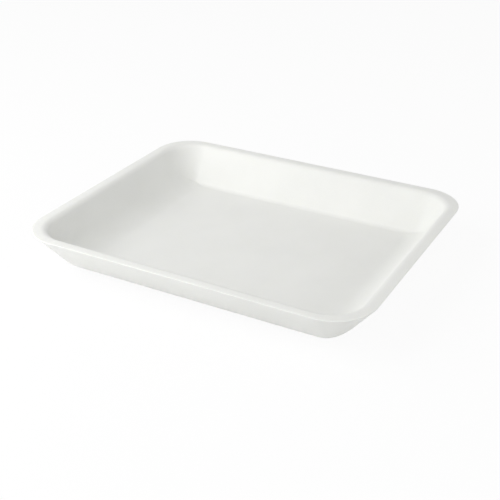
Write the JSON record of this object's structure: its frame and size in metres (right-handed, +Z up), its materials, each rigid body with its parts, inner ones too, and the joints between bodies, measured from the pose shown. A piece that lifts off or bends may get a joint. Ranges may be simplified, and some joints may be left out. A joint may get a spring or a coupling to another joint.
{
  "type": "foam meat tray",
  "caption": "Shallow rectangular foam tray for packed meat, with a flat floor, sloping walls, rounded conical corners and a soft rolled rim.",
  "frame": {"origin": "centre of the underside, on the surface the tray stands on", "axes": "+X along the long sides, +Y across the tray, +Z up out of the open top"},
  "size_m": [0.26, 0.212, 0.033],
  "materials": {
    "foam": "matte closed-cell foam with a soft skin"
  },
  "bodies": {
    "root": {"tray": "foam"}
  },
  "joints": []
}
